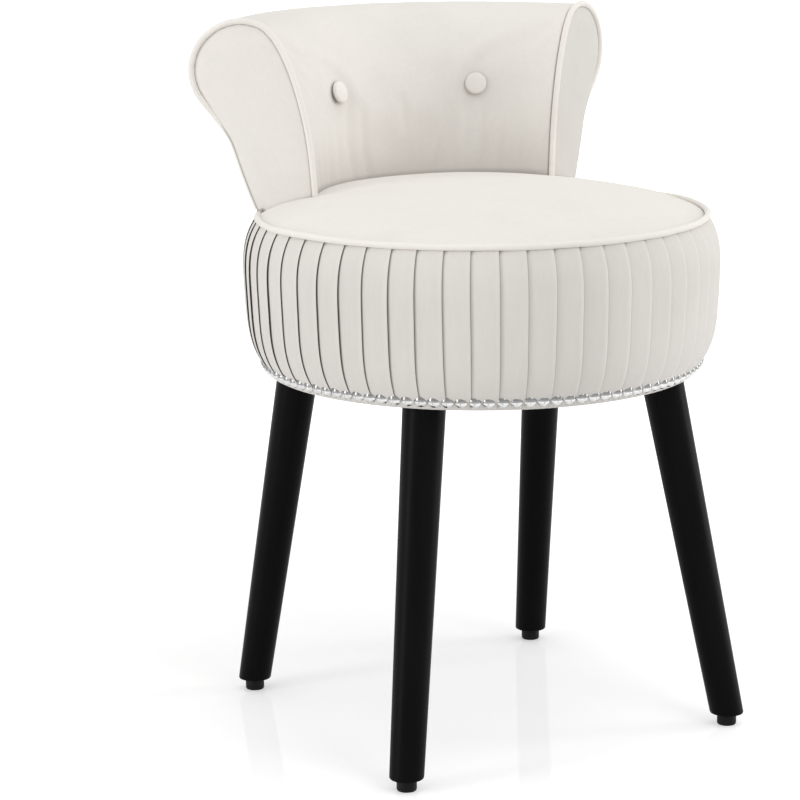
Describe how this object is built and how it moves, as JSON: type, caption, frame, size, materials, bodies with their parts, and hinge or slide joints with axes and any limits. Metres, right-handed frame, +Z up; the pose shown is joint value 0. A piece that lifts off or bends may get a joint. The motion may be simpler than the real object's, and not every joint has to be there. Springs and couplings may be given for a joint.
{
  "type": "vanity stool",
  "caption": "Round upholstered vanity stool: pleated drum seat with piping and nail trim, low curved scroll back with buttons, splayed round legs on levelling feet.",
  "frame": {"origin": "on the floor, under the middle of the whole stool's bounding box; the seat's own axis stands 22.7 mm in front of it", "axes": "+Z up; -Y to the stool's front, where a sitter's knees point; +X to the right in a view from the front"},
  "size_m": [0.4522, 0.4832, 0.6568],
  "materials": {
    "velvet": "off-white short-pile velvet",
    "velvet_piping": "the same velvet over a cord",
    "velvet_button": "the same velvet over a button shell",
    "foam": "upholstery foam and wadding",
    "plywood": "raw plywood",
    "zinc_steel": "zinc-plated steel",
    "nail_metal": "polished nickel",
    "twine": "waxed twine",
    "dust_cloth": "black non-woven cloth",
    "black_wood": "satin black lacquer",
    "black_plastic": "black moulded plastic"
  },
  "bodies": {
    "stool": {"base_board": "plywood", "frame_posts": "plywood", "side_hoop": "plywood", "deck_board": "plywood", "frame_screws": "zinc_steel", "side_padding": "foam", "seat_foam": "foam", "seat_cover": "velvet", "seat_piping": "velvet_piping", "pleated_band": "velvet", "nail_trim": "nail_metal", "dust_cover": "dust_cloth", "back_core": "plywood", "roll_rail": "plywood", "end_board_left": "plywood", "end_board_right": "plywood", "back_foam": "foam", "roll_foam": "foam", "rear_padding": "foam", "back_front_cover": "velvet", "back_rear_cover": "velvet", "end_panel_left": "velvet", "end_panel_right": "velvet", "end_piping_left": "velvet_piping", "end_piping_right": "velvet_piping", "button_left": "velvet_button", "button_right": "velvet_button", "button_tie_left": "twine", "button_tie_right": "twine", "back_strap_left": "zinc_steel", "back_strap_right": "zinc_steel", "strap_screws": "zinc_steel", "leg_front_left": "black_wood", "leg_front_right": "black_wood", "leg_rear_left": "black_wood", "leg_rear_right": "black_wood", "leg_plate_front_left": "zinc_steel", "leg_plate_front_right": "zinc_steel", "leg_plate_rear_left": "zinc_steel", "leg_plate_rear_right": "zinc_steel", "plate_screws": "zinc_steel", "leg_bolt_front_left": "zinc_steel", "leg_bolt_front_right": "zinc_steel", "leg_bolt_rear_left": "zinc_steel", "leg_bolt_rear_right": "zinc_steel", "foot_insert_front_left": "zinc_steel", "foot_insert_front_right": "zinc_steel", "foot_insert_rear_left": "zinc_steel", "foot_insert_rear_right": "zinc_steel"},
    "foot_front_left": {"foot_front_left": "black_plastic"},
    "foot_front_right": {"foot_front_right": "black_plastic"},
    "foot_rear_left": {"foot_rear_left": "black_plastic"},
    "foot_rear_right": {"foot_rear_right": "black_plastic"}
  },
  "joints": [
    {"name": "foot_front_left_screw", "type": "slide", "parent": "stool", "child": "foot_front_left", "axis": [0, 0, -1], "range_m": [0, 0.01]},
    {"name": "foot_front_right_screw", "type": "slide", "parent": "stool", "child": "foot_front_right", "axis": [0, 0, -1], "range_m": [0, 0.01]},
    {"name": "foot_rear_left_screw", "type": "slide", "parent": "stool", "child": "foot_rear_left", "axis": [0, 0, -1], "range_m": [0, 0.01]},
    {"name": "foot_rear_right_screw", "type": "slide", "parent": "stool", "child": "foot_rear_right", "axis": [0, 0, -1], "range_m": [0, 0.01]}
  ]
}
